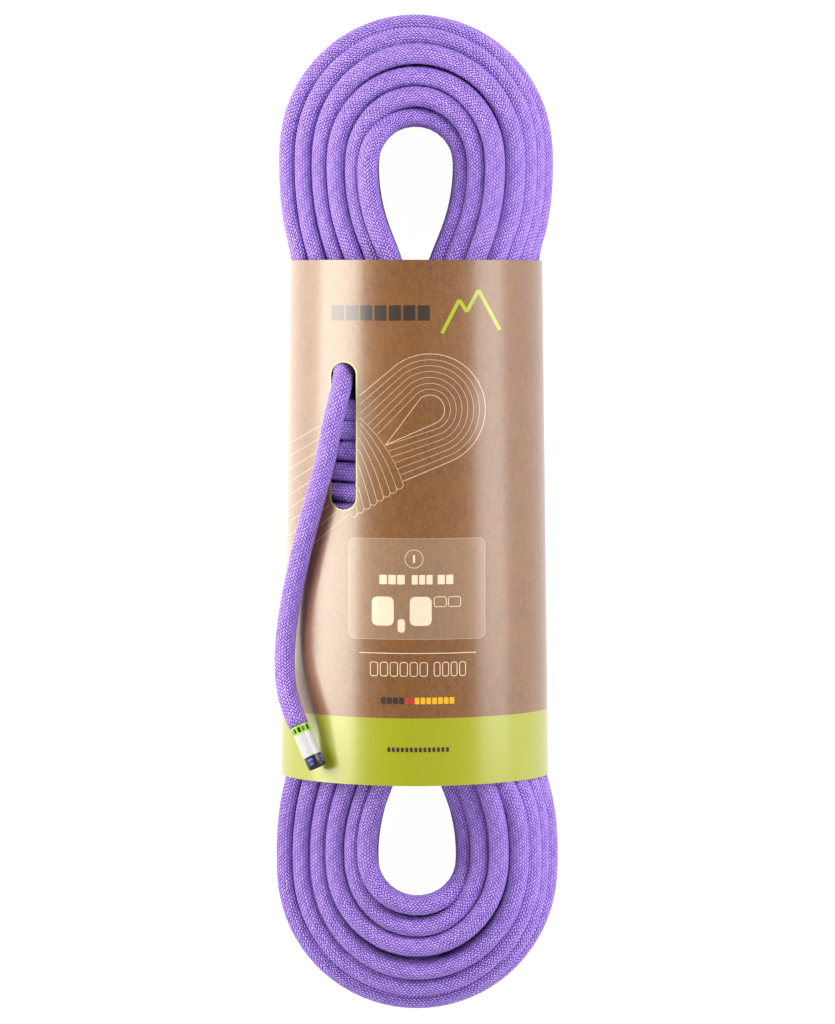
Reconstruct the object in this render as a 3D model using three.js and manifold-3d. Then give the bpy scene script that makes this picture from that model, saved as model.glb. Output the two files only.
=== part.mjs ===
// A dynamic climbing rope as it is sold: 50 m of 9.6 mm kernmantle rope laid up in a flat hank,
// wound round the waist with its own end and held by a card sleeve. The other end hangs out of a
// slot in the sleeve. Both ends carry a printed end label.
//
// Millimetres, +Z up. The hank lies on its back: X runs across it, Y along it with the head loops
// at +Y, and Z out of its front. The origin is the centre of the resting box's bottom face.

import * as THREE from 'three';
import { mergeVertices } from 'three/addons/utils/BufferGeometryUtils.js';
import Module from 'manifold-3d';

const wasm = await Module();
wasm.setup();

// ---------------------------------------------------------------------------------------------
// Driving dimensions
// ---------------------------------------------------------------------------------------------

const gap = 0.3; // clearance between neighbouring solids

const rope = {
  radius: 4.8,
  bore: 3.3, // inside radius of the woven sheath
  strandRadius: 0.9,
  strandRing: 2.1, // six core strands lie on this radius, round a seventh
  sides: 10,
  strandSides: 5,
};

const sleeve = {
  top: 122,
  bottom: -121.8,
  halfWidthTop: 60.4,
  halfWidthBottom: 63.5,
  middleHeight: 58, // height of the sleeve's widest line above the ground
  frontRise: 61,
  backDrop: 57.5,
  thickness: 0.6,
  lapHalfWidth: 14,
  lapLift: 1.5, // height of the inner lap above the outer one
};

const slot = { x: -33.2, top: 74.5, bottom: 6, halfWidth: 5.8 };

const windings = {
  top: 57,
  bottom: -48,
  inset: 2.6, // from the sleeve's outer face
  floor: 3.5,
};

const hank = {
  headRadius: 65,
  headCentre: 175.2,
  footRadius: 66.7,
  footCentre: -176,
  inset: 13, // waist section, from the sleeve's outer face
  waistLift: 13.4,
  liftedTo: 112, // half length of the waist that the windings hold off the ground
  groundedFrom: 172, // the loops lie on the ground beyond this distance from the middle
  headLean: -0.05, // how far the loops' front leans towards the waist, per mm of height
  footLean: 0.145,
};

const frontRoundness = 1.8; // superellipse exponents of the front and back of every section
const backRoundness = 3.5;

const label = { length: 19.7, outer: 4.35, inner: 3.95, overhang: 1.5 };
const thinnedSheath = 3.65; // the sheath's radius where the label grips it

// The loose end's route, from the bundle under the sleeve out through the slot, then down the
// front to the start of its label.
const looseRootPoints = [
  [-35.6, 118, 85.5],
  [-34.7, 106, 88.6],
  [-33.8, 95, 91.9],
  [-33.2, 85, 94.6],
  [-33.1, 79.3, 95.4],
  [-33.1, 74, 97.8],
  [-33.2, 69.1, 102.9],
];
const looseEndPoints = [
  [-33.2, 69.1, 102.9],
  [-33.7, 65.4, 105.6],
  [-34.4, 61.7, 107.9],
  [-35.5, 57.1, 109.6],
  [-36.9, 51.6, 110.2],
  [-38.3, 46, 109.7],
  [-41.6, 29.2, 107.1],
  [-46.3, 12.3, 102.9],
  [-49.2, 0.9, 100],
  [-52.3, -10.4, 96.4],
  [-55, -21.8, 93.1],
  [-57.4, -33.3, 90],
  [-59.4, -44.7, 87.8],
  [-60.8, -56.2, 87],
  [-61.2, -67.5, 88.6],
  [-60.2, -78.6, 92.7],
  [-57.6, -87.6, 97.2],
  [-54.1, -95.3, 100.6],
];
const looseTip = [-46.1, -112.95, 104.0];

// The other end lies straight under the back of the bundle, below the last winding.
const innerEndStart = [0, -48.5, 8.1];
const innerEndLabelStart = [0, -80, 8.1];
const innerTip = [0, -99.7, 8.1];

// ---------------------------------------------------------------------------------------------
// Solids
// ---------------------------------------------------------------------------------------------

const vector = (point) => new THREE.Vector3(...point);

function pathThrough(points) {
  return new THREE.CatmullRomCurve3(points.map(vector), false, 'centripetal');
}

function toSolid(geometry) {
  const bare = geometry.clone();
  bare.deleteAttribute('normal');
  bare.deleteAttribute('uv');
  const merged = mergeVertices(bare, 1e-4);
  return new wasm.Manifold(
    new wasm.Mesh({
      numProp: 3,
      vertProperties: new Float32Array(merged.attributes.position.array),
      triVerts: new Uint32Array(merged.index.array),
    }),
  );
}

function toGeometry(solid) {
  const mesh = solid.getMesh();
  const geometry = new THREE.BufferGeometry();
  geometry.setAttribute('position', new THREE.BufferAttribute(mesh.vertProperties, mesh.numProp));
  geometry.setIndex(new THREE.BufferAttribute(mesh.triVerts, 1));
  return geometry;
}

function mapVertices(geometry, move) {
  const position = geometry.attributes.position;
  const point = new THREE.Vector3();
  for (let i = 0; i < position.count; i += 1) {
    point.fromBufferAttribute(position, i);
    move(point);
    position.setXYZ(i, point.x, point.y, point.z);
  }
  return geometry;
}

// Extrudes an outline drawn in the XZ plane from one Y to another.
function extrudeAlongY(shape, from, to, steps = 1) {
  const geometry = new THREE.ExtrudeGeometry(shape, {
    depth: to - from,
    steps,
    bevelEnabled: false,
  });
  geometry.rotateX(Math.PI / 2);
  geometry.translate(0, to, 0);
  return geometry;
}

function circle(radius, sides, x = 0, y = 0) {
  const points = [];
  for (let i = 0; i < sides; i += 1) {
    const angle = (2 * Math.PI * i) / sides;
    points.push(new THREE.Vector2(x + radius * Math.cos(angle), y + radius * Math.sin(angle)));
  }
  return points;
}

// A closed outline without the points that lie on a straight line between their neighbours.
function cornersOf(points) {
  return points.filter((point, i) => {
    const before = points[(i + points.length - 1) % points.length];
    const after = points[(i + 1) % points.length];
    const back = point.clone().sub(before);
    const ahead = after.clone().sub(point);
    return Math.abs(back.cross(ahead)) > 1e-3 * back.length() * ahead.length();
  });
}

function sweep(outline, path, steps) {
  return new THREE.ExtrudeGeometry(new THREE.Shape(outline), { steps, extrudePath: path });
}

// Half outline of a section: points on a superellipse, from angle 0 at +X over the front to -X.
function sectionPoint(angle, halfWidth, frontRise, backDrop, middleHeight) {
  const front = Math.sin(angle) >= 0;
  const power = 2 / (front ? frontRoundness : backRoundness);
  const across = Math.sign(Math.cos(angle)) * Math.abs(Math.cos(angle)) ** power;
  const along = Math.abs(Math.sin(angle)) ** power;
  const height = middleHeight + (front ? frontRise * along : -backDrop * along);
  return new THREE.Vector2(halfWidth * across, height);
}

// The sleeve's closed outer section, moved inwards by inset and cut off flat at the back.
function waistSection(inset, floor) {
  const points = [];
  const count = 48;
  const halfWidth = (sleeve.halfWidthTop + sleeve.halfWidthBottom) / 2 - inset;
  for (let i = 0; i < count; i += 1) {
    const angle = (2 * Math.PI * i) / count;
    const point = sectionPoint(
      angle,
      halfWidth,
      sleeve.frontRise - inset,
      sleeve.backDrop + 1 - inset,
      sleeve.middleHeight,
    );
    point.y = Math.max(point.y, floor);
    points.push(point);
  }
  return cornersOf(points);
}

function standard(name, geometry, colour, roughness) {
  const material = new THREE.MeshStandardMaterial({ color: colour, roughness, metalness: 0 });
  const mesh = new THREE.Mesh(geometry, material);
  mesh.name = name;
  return mesh;
}

const colours = {
  sheath: 0x9a7bd8,
  core: 0xf1efe6,
  card: 0xb98a5c,
  glue: 0xe6dcc0,
  label: 0xe9e9e6,
  melt: 0x4b3a78,
};

// ---------------------------------------------------------------------------------------------
// Hank
// ---------------------------------------------------------------------------------------------

function arc(centreY, radius, fromDegrees, toDegrees, count) {
  const points = [];
  for (let i = 0; i <= count; i += 1) {
    const angle = THREE.MathUtils.degToRad(
      fromDegrees + ((toDegrees - fromDegrees) * i) / count,
    );
    points.push(new THREE.Vector2(radius * Math.cos(angle), centreY + radius * Math.sin(angle)));
  }
  return points;
}

function splineThrough(points, count) {
  const curve = pathThrough(points.map(([x, y]) => [x, y, 0]));
  return curve.getSpacedPoints(count).map((point) => new THREE.Vector2(point.x, point.y));
}

// The right half of the hank's outer edge, from the head's tip to the foot's.
function outerEdge() {
  const side = splineThrough(
    [
      [hank.headRadius, hank.headCentre],
      [64.9, 163],
      [62.5, 140],
      [58, 122],
      [52.3, 95],
      [49.1, 68],
      [49.1, 10],
      [49.1, -50],
      [53, -82],
      [61, -121.5],
      [64.8, -138],
      [66.6, -158],
      [hank.footRadius, hank.footCentre],
    ],
    24,
  );
  return [
    ...arc(hank.headCentre, hank.headRadius, 90, 0, 9).slice(0, -1),
    ...side,
    ...arc(hank.footCentre, hank.footRadius, 0, -90, 9).slice(1),
  ];
}

// The right half of the gap down the hank's middle: an eye in each end's loops, and between them
// the line where the two sides of the bundle meet.
function innerEdge() {
  const headEye = { centre: 169.5, radius: 17.7 };
  const footEye = { centre: -168, radius: 18.2 };
  const throat = splineThrough(
    [
      [headEye.radius, headEye.centre],
      [16, 151],
      [12.4, 137],
      [6.2, 123],
      [2.4, 109],
      [0.6, 97],
      [0.5, 40],
      [0.5, -30],
      [0.6, -86],
      [2.6, -98],
      [7.2, -113],
      [11.4, -127],
      [16.6, -148],
      [footEye.radius, footEye.centre],
    ],
    26,
  );
  throat.forEach((point) => {
    point.x = Math.max(point.x, 0.5);
  });
  return [
    ...arc(headEye.centre, headEye.radius, 90, 0, 6).slice(0, -1),
    ...throat,
    ...arc(footEye.centre, footEye.radius, 0, -90, 6).slice(1),
  ];
}

function mirrored(rightHalf) {
  const left = rightHalf
    .slice(1, -1)
    .reverse()
    .map((point) => new THREE.Vector2(-point.x, point.y));
  return cornersOf([...rightHalf, ...left]);
}

// How far the back of the hank is held off the ground at y.
function liftAt(y) {
  const share = THREE.MathUtils.smoothstep(
    hank.groundedFrom - Math.abs(y),
    0,
    hank.groundedFrom - hank.liftedTo,
  );
  return hank.waistLift * share;
}

// Heights and widths of the hank's section, from its front ridge to its back, as shares of the
// full height and of the half width. The levels next to the two ridges fall inside the middle gap.
function sectionLevels() {
  const degrees = [90, 89.2, 76, 63, 50, 37, 24, 11, 0, -12, -25, -38, -52, -66, -75, -89.985, -90];
  return degrees.map((angle) => {
    const share = sectionPoint(THREE.MathUtils.degToRad(angle), 1, 1, 1, 0);
    return { width: share.x, height: share.y };
  });
}

// The domed front and the flattened back as one block, without the eyes. Every point of the
// outline is joined to the ridge that runs between the centres of the head and the foot.
function hankBlock(outline) {
  const levels = sectionLevels();
  const middleHeight = sleeve.middleHeight - hank.waistLift;
  const rise = sleeve.frontRise - hank.inset;
  const block = new THREE.SphereGeometry(1, outline.length, levels.length - 1);
  const position = block.attributes.position;
  levels.forEach((level, row) => {
    const pole = row === 0 || row === levels.length - 1;
    for (let column = 0; column <= outline.length; column += 1) {
      const edge = outline[column % outline.length];
      const ridge = THREE.MathUtils.clamp(edge.y, hank.footCentre, hank.headCentre);
      const x = pole ? 0 : edge.x * level.width;
      const y = pole ? 0 : THREE.MathUtils.lerp(ridge, edge.y, level.width);
      const front = level.height >= 0;
      const height = middleHeight + level.height * (front ? rise : middleHeight + 1);
      const lift = liftAt(pole ? 0 : ridge);
      position.setXYZ(row * (outline.length + 1) + column, x, y, Math.max(height, 0) + lift);
    }
  });
  return toSolid(block);
}

function uprightPrism(outline) {
  const options = { depth: 130, steps: 1, bevelEnabled: false };
  const prism = new THREE.ExtrudeGeometry(new THREE.Shape(outline), options);
  return toSolid(prism.translate(0, 0, -5));
}

function leanLoops(point) {
  const share = THREE.MathUtils.smoothstep(Math.abs(point[1]), 100, 178);
  const lean = point[1] > 0 ? hank.headLean : hank.footLean;
  point[1] += lean * share * point[2];
}

function makeHank(looseRoot) {
  const outline = mirrored(outerEdge()).reverse();
  const plain = hankBlock(outline).subtract(uprightPrism(mirrored(innerEdge())));
  const bed = sweep(circle(rope.radius + gap + 0.2, rope.sides), looseRoot, 8);
  return toGeometry(plain.warp(leanLoops).subtract(toSolid(bed)));
}

// ---------------------------------------------------------------------------------------------
// Windings round the waist
// ---------------------------------------------------------------------------------------------

function makeWindings() {
  const inset = windings.inset;
  const innerInset = inset + 2 * rope.radius;
  const outer = new THREE.Shape(waistSection(inset, windings.floor));
  const inner = new THREE.Shape(waistSection(innerInset, windings.floor + 2 * rope.radius));
  const block = extrudeAlongY(outer, windings.bottom, windings.top);
  const core = extrudeAlongY(inner, windings.bottom - 1, windings.top + 1);
  return toGeometry(toSolid(block).subtract(toSolid(core)));
}

// ---------------------------------------------------------------------------------------------
// Card sleeve
// ---------------------------------------------------------------------------------------------

// One face of the card, from the outer lap's edge round the front to the inner lap's edge.
function cardFace(inset) {
  const widest = (sleeve.halfWidthTop + sleeve.halfWidthBottom) / 2;
  const floor = sleeve.middleHeight - sleeve.backDrop + inset;
  const points = [new THREE.Vector2(sleeve.lapHalfWidth, floor)];
  const count = 46;
  for (let i = 0; i <= count; i += 1) {
    const angle = -Math.PI / 2 - (2 * Math.PI * i) / count;
    const point = sectionPoint(
      angle,
      widest - inset,
      sleeve.frontRise - inset,
      sleeve.backDrop + 1 - inset,
      sleeve.middleHeight,
    );
    const inFront = point.y > sleeve.middleHeight;
    const clearOfLap = inFront || Math.abs(point.x) > sleeve.lapHalfWidth + 12;
    if (clearOfLap) {
      points.push(new THREE.Vector2(point.x, Math.max(point.y, floor)));
    }
  }
  points.push(new THREE.Vector2(sleeve.lapHalfWidth + 10, floor));
  points.push(new THREE.Vector2(sleeve.lapHalfWidth + 3, floor + sleeve.lapLift));
  points.push(new THREE.Vector2(-sleeve.lapHalfWidth, floor + sleeve.lapLift));
  return points;
}

function slotPrism() {
  const outline = new THREE.Shape();
  const topCentre = slot.top - slot.halfWidth;
  const bottomCentre = slot.bottom + slot.halfWidth;
  outline.absarc(slot.x, topCentre, slot.halfWidth, 0, Math.PI, false);
  outline.absarc(slot.x, bottomCentre, slot.halfWidth, Math.PI, 2 * Math.PI, false);
  const prism = new THREE.ExtrudeGeometry(outline, {
    depth: 60,
    steps: 1,
    bevelEnabled: false,
    curveSegments: 6,
  });
  prism.translate(0, 0, sleeve.middleHeight + 5);
  return prism;
}

function makeSleeve() {
  const outline = cornersOf([...cardFace(0), ...cardFace(sleeve.thickness).reverse()]);
  const tube = extrudeAlongY(new THREE.Shape(outline), sleeve.bottom, sleeve.top);
  const widest = (sleeve.halfWidthTop + sleeve.halfWidthBottom) / 2;
  mapVertices(tube, (point) => {
    const share = (point.y - sleeve.bottom) / (sleeve.top - sleeve.bottom);
    const halfWidth = THREE.MathUtils.lerp(sleeve.halfWidthBottom, sleeve.halfWidthTop, share);
    point.x *= halfWidth / widest;
  });
  return toGeometry(toSolid(tube).subtract(toSolid(slotPrism())));
}

function makeGlueStrip() {
  const halfWidth = 9;
  const low = sleeve.middleHeight - sleeve.backDrop + sleeve.thickness + gap;
  const high = low + sleeve.lapLift - sleeve.thickness - 2 * gap;
  const outline = new THREE.Shape([
    new THREE.Vector2(-halfWidth, low),
    new THREE.Vector2(halfWidth, low),
    new THREE.Vector2(halfWidth, high),
    new THREE.Vector2(-halfWidth, high),
  ]);
  return extrudeAlongY(outline, sleeve.bottom + 3, sleeve.top - 3);
}

// ---------------------------------------------------------------------------------------------
// Rope ends
// ---------------------------------------------------------------------------------------------

// A route that ends in a straight run from the label's start to the rope's tip.
function endPath(points, tip) {
  const labelStart = vector(points[points.length - 1]);
  const tipPoint = vector(tip);
  const path = new THREE.CurvePath();
  path.add(pathThrough(points));
  path.add(new THREE.LineCurve3(labelStart, tipPoint));
  return path;
}

// A turned piece's placing: its local +Y axis runs along the rope towards the tip.
function labelFrame(labelStart, tip) {
  const frame = new THREE.Group();
  const along = vector(tip).sub(vector(labelStart)).normalize();
  frame.position.copy(vector(labelStart));
  frame.quaternion.setFromUnitVectors(new THREE.Vector3(0, 1, 0), along);
  frame.updateMatrixWorld(true);
  return frame;
}

function turned(profile, segments) {
  return new THREE.LatheGeometry(
    profile.map(([radius, along]) => new THREE.Vector2(radius, along)),
    segments,
  );
}

// The space that the label takes out of the sheath's outside.
function labelPocket() {
  return turned(
    [
      [thinnedSheath, -gap],
      [rope.radius + 1, -gap],
      [rope.radius + 1, label.length + 2],
      [thinnedSheath, label.length + 2],
      [thinnedSheath, -gap],
    ],
    20,
  );
}

function makeLabel() {
  const bandEnd = label.length + label.overhang;
  return turned(
    [
      [label.inner, 0],
      [label.outer, 0],
      [label.outer, bandEnd],
      [label.inner, bandEnd],
      [label.inner, 0],
    ],
    20,
  );
}

function makeMeltedEnd() {
  const start = label.length + gap;
  return turned(
    [
      [0, start],
      [thinnedSheath - 0.1, start],
      [thinnedSheath - 0.4, start + 0.7],
      [0, start + 1],
    ],
    16,
  );
}

// Builds one end of the rope: sheath, seven core strands, label and melted end. A hinged end
// starts in a ball round its pivot.
function makeRopeEnd(prefix, points, tip, steps, hinged) {
  const pieces = new THREE.Group();
  const labelStart = points[points.length - 1];
  const frame = labelFrame(labelStart, tip);
  const path = endPath(points, tip);
  const ball = new THREE.SphereGeometry(rope.radius, 16, 10).translate(...points[0]);
  const clearing = new THREE.SphereGeometry(rope.radius + gap, 16, 10).translate(...points[0]);

  let sheath = toSolid(sweep(circle(rope.radius, rope.sides), path, steps));
  sheath = sheath.subtract(toSolid(sweep(circle(rope.bore, rope.sides), path, steps)));
  sheath = sheath.subtract(toSolid(labelPocket().applyMatrix4(frame.matrixWorld)));
  if (hinged) {
    sheath = sheath.add(toSolid(ball));
  }
  pieces.add(standard(`${prefix}_sheath`, toGeometry(sheath), colours.sheath, 0.85));

  for (let i = 0; i < 7; i += 1) {
    const ring = i === 0 ? 0 : rope.strandRing;
    const angle = (2 * Math.PI * i) / 6;
    const centre = [ring * Math.cos(angle), ring * Math.sin(angle)];
    const outline = circle(rope.strandRadius, rope.strandSides, ...centre);
    let strand = toSolid(sweep(outline, path, steps));
    if (hinged) {
      strand = strand.subtract(toSolid(clearing));
    }
    const name = `${prefix}_core_strand_${i + 1}`;
    pieces.add(standard(name, toGeometry(strand), colours.core, 0.7));
  }

  frame.add(standard(`${prefix}_label`, makeLabel(), colours.label, 0.35));
  frame.add(standard(`${prefix}_melted_tip`, makeMeltedEnd(), colours.melt, 0.4));
  pieces.add(frame);
  return pieces;
}

// The short run from the bundle to the slot, which ends just short of the hinge's ball.
function makeLooseRoot(path) {
  const pivot = looseEndPoints[0];
  const run = sweep(circle(rope.radius, rope.sides), path, 7);
  const space = new THREE.SphereGeometry(rope.radius + 2 * gap, 16, 10).translate(...pivot);
  return toGeometry(toSolid(run).subtract(toSolid(space)));
}

// ---------------------------------------------------------------------------------------------
// Assembly
// ---------------------------------------------------------------------------------------------

const group = new THREE.Group();
const looseRoot = pathThrough(looseRootPoints);

group.add(standard('hank', makeHank(looseRoot), colours.sheath, 0.85));
group.add(standard('waist_windings', makeWindings(), colours.sheath, 0.85));
group.add(standard('loose_end_root', makeLooseRoot(looseRoot), colours.sheath, 0.85));
group.add(makeRopeEnd('loose_end', looseEndPoints, looseTip, 24, true));
group.add(makeRopeEnd('inner_end', [innerEndStart, innerEndLabelStart], innerTip, 4, false));
group.add(standard('card_sleeve', makeSleeve(), colours.card, 0.5));
group.add(standard('glue_strip', makeGlueStrip(), colours.glue, 0.6));

export default group;
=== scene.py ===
"""Look of a 50 m dynamic climbing rope in its retail hank, 9.6 mm thick, built round the frame.

The whole rope is one line of cords: a loose end out of the card's slot, forty-eight oval
loops, and windings round their waist that end behind them. A printed card sleeve holds the hank.
Routes and sections are worked out in millimetres and turned into metres when a mesh is made.
"""

import math

import bmesh
import bpy
import numpy as np
from mathutils import Matrix, Vector


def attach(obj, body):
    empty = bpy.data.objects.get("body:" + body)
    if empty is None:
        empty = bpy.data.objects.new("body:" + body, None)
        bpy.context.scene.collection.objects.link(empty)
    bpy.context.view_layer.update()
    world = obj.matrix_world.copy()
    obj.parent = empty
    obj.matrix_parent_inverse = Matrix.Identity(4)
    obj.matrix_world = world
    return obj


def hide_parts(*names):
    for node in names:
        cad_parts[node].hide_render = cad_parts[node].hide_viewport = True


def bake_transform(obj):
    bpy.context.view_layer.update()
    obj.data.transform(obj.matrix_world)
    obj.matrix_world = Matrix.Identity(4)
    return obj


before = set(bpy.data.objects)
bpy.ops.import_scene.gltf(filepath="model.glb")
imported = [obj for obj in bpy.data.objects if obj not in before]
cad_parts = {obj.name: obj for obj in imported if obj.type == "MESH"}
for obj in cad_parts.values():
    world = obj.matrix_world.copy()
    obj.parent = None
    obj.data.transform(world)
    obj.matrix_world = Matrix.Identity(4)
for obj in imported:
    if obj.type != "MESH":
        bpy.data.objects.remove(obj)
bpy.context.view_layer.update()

MM = 0.001
scene = bpy.context.scene

# ----- Driving dimensions, in millimetres -----

ROPE_RADIUS = 4.8
ROPE_DIAMETER = 2 * ROPE_RADIUS
THINNED_RADIUS = 3.65  # under an end label

# The card's section: a superellipse whose front and back have different exponents.
MIDDLE_HEIGHT = 58.0
FRONT_RISE = 61.0
BACK_DROP = 57.5
FRONT_POWER = 1.8
BACK_POWER = 3.5
SLEEVE_TOP = 122.0
SLEEVE_BOTTOM = -121.8
SLEEVE_TRAVEL = 6.5  # room for the sleeve to slide towards the head
SLEEVE_HALF_TOP = 60.4
SLEEVE_HALF_BOTTOM = 63.5
SLEEVE_HALF = (SLEEVE_HALF_TOP + SLEEVE_HALF_BOTTOM) / 2
CARD_THICKNESS = 0.6
LAP_HALF_WIDTH = 14.0
LAP_LIFT = 1.5
LIME_BAND_TOP = -90.3

SLOT_X = -33.2
SLOT_TOP = 74.5
SLOT_BOTTOM = 6.0
SLOT_HALF = 5.8

# The hank: where its loops' outermost and innermost strands run.
HEAD_CENTRE = 176.5
HEAD_RADIUS = 65.0
HEAD_EYE_CENTRE = 170.9
HEAD_EYE_RADIUS = 18.1
HEAD_LEAN = -0.05  # how far the loops' front leans along the hank, per mm of height
FOOT_CENTRE = -176.0
FOOT_RADIUS = 67.1
FOOT_EYE_CENTRE = -170.7
FOOT_EYE_RADIUS = 19.1
FOOT_LEAN = 0.145
HEAD_SHIFT = 0.4  # sideways, towards +X
FOOT_SHIFT = 1.0
WAIST_LIFT = 13.4
LIFTED_TO = 112.0
GROUNDED_FROM = 172.0
FRONT_HEIGHT = 88.0  # centre height of the highest strand in the loops

WINDING_INSET = 7.4  # from the card's outer face to the windings' centre line
WINDING_FLOOR = 8.3  # height of their centre line behind the hank
WINDING_PITCH = 9.6
WINDING_START = 60.9
WINDING_TURNS = 10.47

# ----- Curves -----


def smooth(value, low, high):
    """0 below low, 1 above high, with a smooth rise between."""
    share = np.clip((value - low) / (high - low), 0.0, 1.0)
    return share * share * (3 - 2 * share)


def sleeve_half(y):
    """Half width of the card at y."""
    share = (np.clip(y, SLEEVE_BOTTOM, SLEEVE_TOP) - SLEEVE_BOTTOM) / (SLEEVE_TOP - SLEEVE_BOTTOM)
    return SLEEVE_HALF_BOTTOM + (SLEEVE_HALF_TOP - SLEEVE_HALF_BOTTOM) * share


def section_point(angle, half_width, rise, drop):
    """A point (x, z) of a waist section. Angle 0 is at +X and pi / 2 at the front."""
    front = math.sin(angle) >= 0
    power = 2 / (FRONT_POWER if front else BACK_POWER)
    across = math.copysign(abs(math.cos(angle)) ** power, math.cos(angle))
    along = abs(math.sin(angle)) ** power
    return half_width * across, MIDDLE_HEIGHT + (rise * along if front else -drop * along)


def spline(points, spacing=1.0):
    """A centripetal Catmull-Rom curve through the points, in small steps."""
    points = np.asarray(points, float)
    padded = np.vstack([2 * points[0] - points[1], points, 2 * points[-1] - points[-2]])
    out = []
    for a, b, c, d in zip(padded, padded[1:], padded[2:], padded[3:]):
        gaps = [max(np.linalg.norm(q - p), 1e-6) ** 0.5 for p, q in ((a, b), (b, c), (c, d))]
        t0, t1 = 0.0, gaps[0]
        t2 = t1 + gaps[1]
        t3 = t2 + gaps[2]
        count = max(2, int(np.linalg.norm(c - b) / spacing))
        t = np.linspace(t1, t2, count, endpoint=False)[:, None]

        def between(p, q, low, high):
            return (high - t) / (high - low) * p + (t - low) / (high - low) * q

        bc = between(b, c, t1, t2)
        abc = between(between(a, b, t0, t1), bc, t0, t2)
        bcd = between(bc, between(c, d, t2, t3), t1, t3)
        out.append(between(abc, bcd, t1, t2))
    out.append(points[-1:])
    return np.vstack(out)


def smoothed(points, passes):
    """The line with its corners rounded off; its ends stay."""
    line = points.copy()
    for _ in range(passes):
        line[1:-1] = (line[:-2] + 2 * line[1:-1] + line[2:]) / 4
    return line


def lengths_along(points):
    """The length of the line up to each of its points."""
    steps = np.linalg.norm(np.diff(points, axis=0), axis=1)
    return np.concatenate([[0.0], np.cumsum(steps)])


def at_lengths(points, wanted):
    """The places on the line at these lengths."""
    along = lengths_along(points)
    return np.column_stack([np.interp(wanted, along, points[:, i]) for i in range(3)])


# ----- The hank's loops -----

# Strands in the six columns of loops, from the outermost to the innermost.
COLUMN_LAYERS = (8, 8, 8, 8, 8, 8)

# Where the front strand of each column lies at the four sides of the loops: its share of the way
# from the outermost to the innermost strand, and its height below the highest one.
FRONT_SHARES = {
    "left": (0.0, 0.203, 0.42, 0.613, 0.843, 1.0),
    "top": (0.0, 0.141, 0.318, 0.562, 0.778, 1.0),
    "right": (0.115, 0.217, 0.371, 0.615, 0.835, 1.0),
    "bottom": (0.0, 0.134, 0.308, 0.561, 0.771, 1.0),
}
FRONT_DROPS = {
    "left": (30.5, 24.4, 18.9, 12.3, 7.7, 0.0),
    "top": (22.0, 15.0, 9.3, 11.0, 9.0, 12.5),
    "right": (20.3, 11.4, 3.6, 0.0, 5.3, 12.8),
    "bottom": (26.0, 19.0, 14.0, 8.5, 7.0, 3.0),
}
SQUEEZED = 9.1  # closest centres of two strands: the rope gives a little where it is packed

# From the outermost to the innermost strand: at the long sides, at the ends and at the waist.
SIDE_REACH = 37.5
END_REACH = 46.5
WAIST_REACH = 39.3
WAIST_OUTERMOST = 44.6  # the outermost strand's distance from the middle
WAIST_DOME_HALF = 46  # the dome that the waist's strands fill, over the card's middle line
WAIST_FRONT_RISE = 43.5
WAIST_DOME_RISE = 43.7
TOP_ROOM = 4.5  # how far the strands behind stay below the front ones


def outer_half(y):
    """Half width of the hank's outermost strands' centre line at y."""
    ys = [-176, -160, -141, -121.5, -80, -40, 60, 90, 122, 140, 162, 176.5]
    halves = [67.1, 67.1, 65.5, 61.6, 54.5, 49.6, 49.6, 53, 58.6, 62.9, 65, 65]
    return np.interp(y, ys, halves) - ROPE_RADIUS


def inner_half(y):
    """Half width of the innermost strands' centre line at y."""
    ys = [-170.7, -156, -146, -136, -126, -114, -100, -90, 98, 108, 122, 136.6, 146, 158, 170.9]
    halves = [19.1, 18.4, 16.3, 13.6, 10.7, 7, 2.2, -0.2, -0.2, 2.2, 6, 12.2, 15.3, 17.5, 18.1]
    return np.interp(y, ys, halves) + ROPE_RADIUS


def lift_at(y):
    """How far the windings hold the loops off the ground at y."""
    return WAIST_LIFT * smooth(GROUNDED_FROM - np.abs(y), 0.0, GROUNDED_FROM - LIFTED_TO)


def relax(places, pinned, width, low, high):
    """Pushes the strands' centres apart in one section until none overlap, inside its outline."""
    places = places + np.random.default_rng(7).normal(0, 0.3, places.shape) * ~pinned[:, None]
    for _ in range(1500):
        gaps = places[:, None] - places[None]
        distance = np.linalg.norm(gaps, axis=2) + np.eye(len(places)) * 100 + 1e-6
        overlap = np.clip(SQUEEZED - distance, 0, None)
        push = (gaps / distance[..., None] * overlap[..., None]).sum(axis=1) * 0.35
        places[~pinned] += push[~pinned]
        places[:, 0] = np.clip(places[:, 0], 0, width)
        floor = low + 5 * np.clip(1 - places[:, 0] / 9, 0, 1) ** 2
        ceiling = high(places[:, 0])
        free = ~pinned
        places[free, 1] = np.clip(places[free, 1], floor[free], ceiling[free])
    return places


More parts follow.
